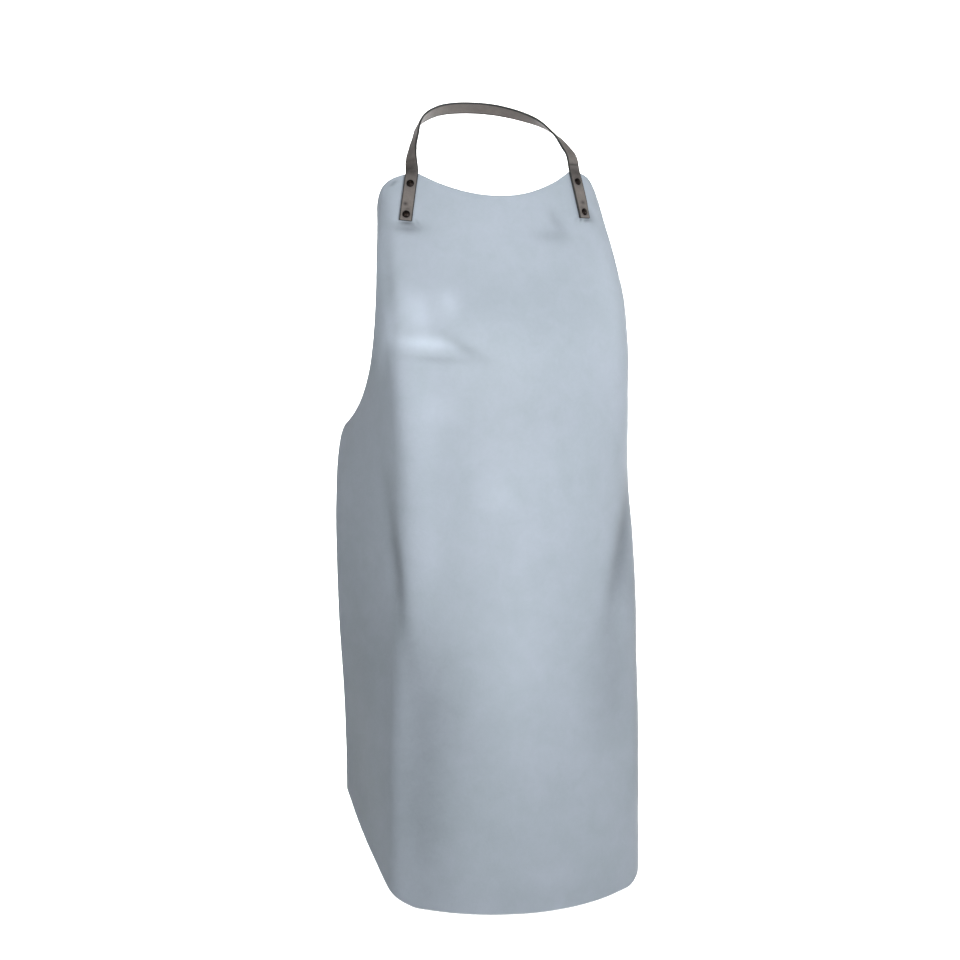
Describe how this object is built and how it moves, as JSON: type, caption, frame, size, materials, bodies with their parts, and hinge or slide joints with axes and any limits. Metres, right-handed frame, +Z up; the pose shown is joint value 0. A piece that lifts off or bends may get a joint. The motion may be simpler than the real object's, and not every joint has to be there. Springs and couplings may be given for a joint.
{
  "type": "leather welding apron",
  "caption": "Leather apron shaped as worn: one thick sheet with a bib, wrapped back at the sides, on a flat leather strap that loops round the nape and is riveted to the bib's corners.",
  "frame": {"origin": "middle of the neck strap's inner face at the nape, where the apron hangs from the wearer's neck", "axes": "+Z up, the front of the apron faces -Y, +X is the right-hand side seen from the front"},
  "size_m": [0.3768, 0.2559, 0.9603],
  "materials": {
    "sheet_leather": "matte pale blue-grey split leather, softly mottled",
    "strap_leather": "satin grey-brown strap leather with darker cut edges",
    "rivet_metal": "dark antique brass, worn brighter on the crowns"
  },
  "bodies": {
    "root": {"apron_body": "sheet_leather", "neck_strap": "strap_leather", "rivet_left_upper": "rivet_metal", "rivet_left_lower": "rivet_metal", "rivet_right_upper": "rivet_metal", "rivet_right_lower": "rivet_metal"}
  },
  "joints": []
}
